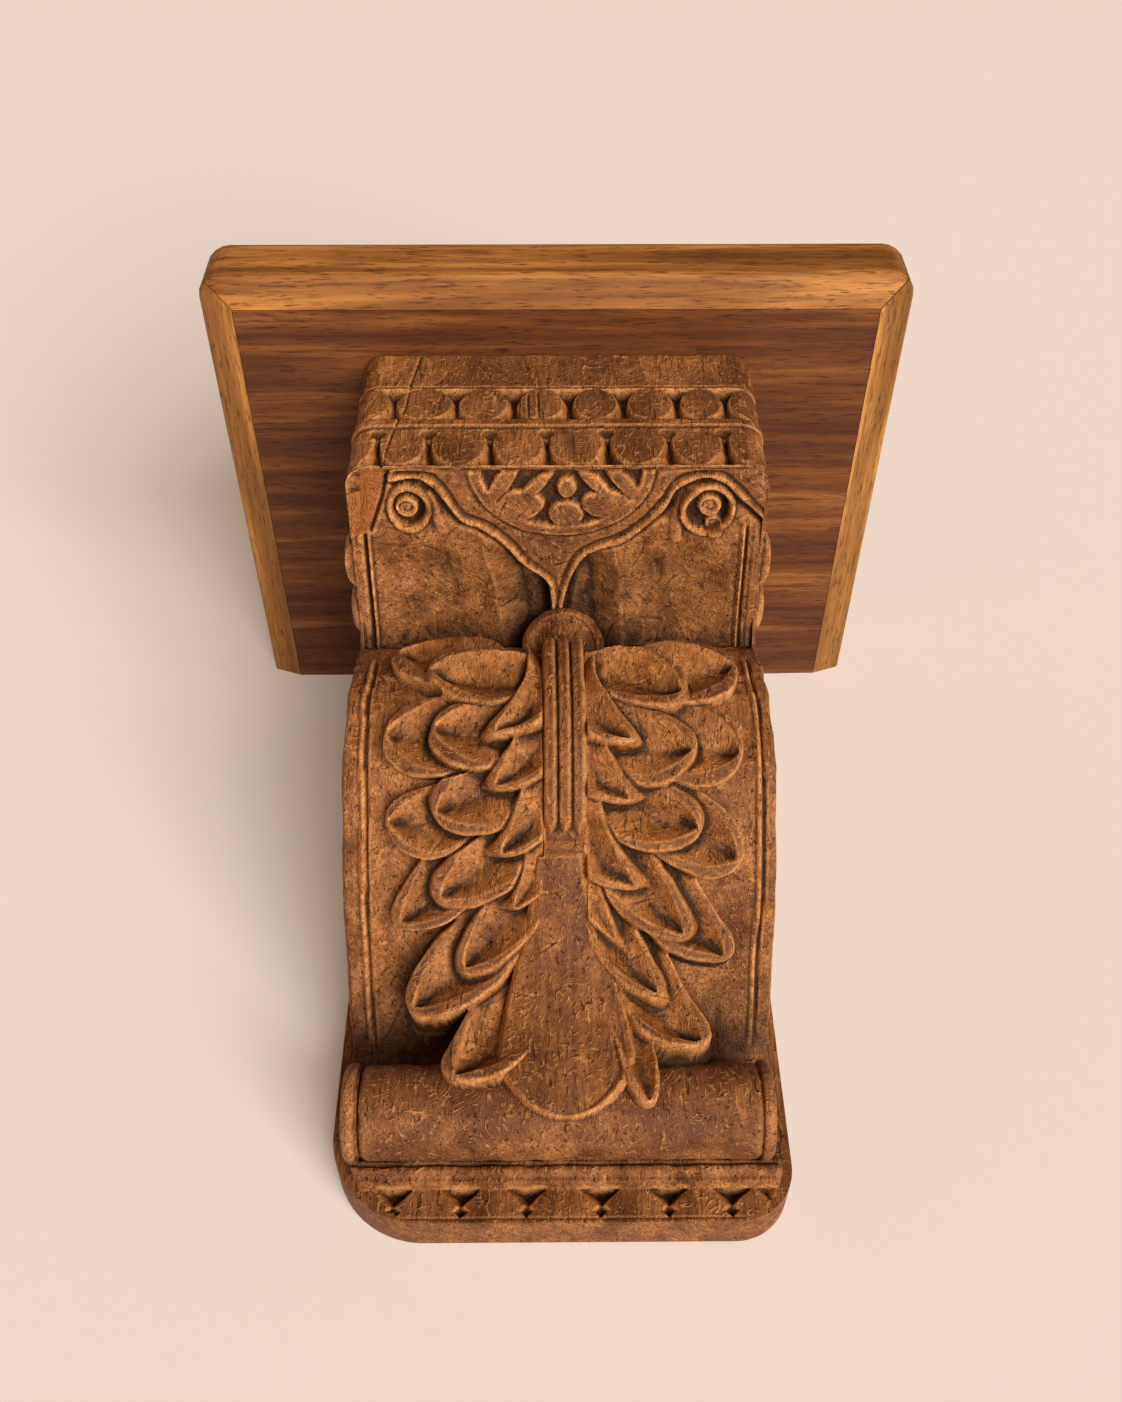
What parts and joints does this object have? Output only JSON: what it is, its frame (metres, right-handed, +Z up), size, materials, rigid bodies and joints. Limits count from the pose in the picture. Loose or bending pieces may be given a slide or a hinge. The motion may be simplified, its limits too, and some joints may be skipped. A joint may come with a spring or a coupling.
{
  "type": "carved shelf bracket",
  "caption": "Carved wooden shelf bracket: a scrolled corbel with a hanging leaf, under a shelf board edged with mitred strips.",
  "frame": {"origin": "middle of the corbel's flat back, on the wall plane", "axes": "+Z up to the shelf's top, +Y into the wall, so the bracket stands out along -Y; X along the shelf"},
  "size_m": [0.3, 0.23, 0.3373],
  "materials": {
    "panel_wood": "waxed",
    "edge_wood": "waxed",
    "corbel_wood": "aged and waxed"
  },
  "bodies": {
    "root": {"shelf_panel": "panel_wood", "front_edge_strip": "edge_wood", "left_edge_strip": "edge_wood", "right_edge_strip": "edge_wood", "corbel": "corbel_wood"}
  },
  "joints": []
}
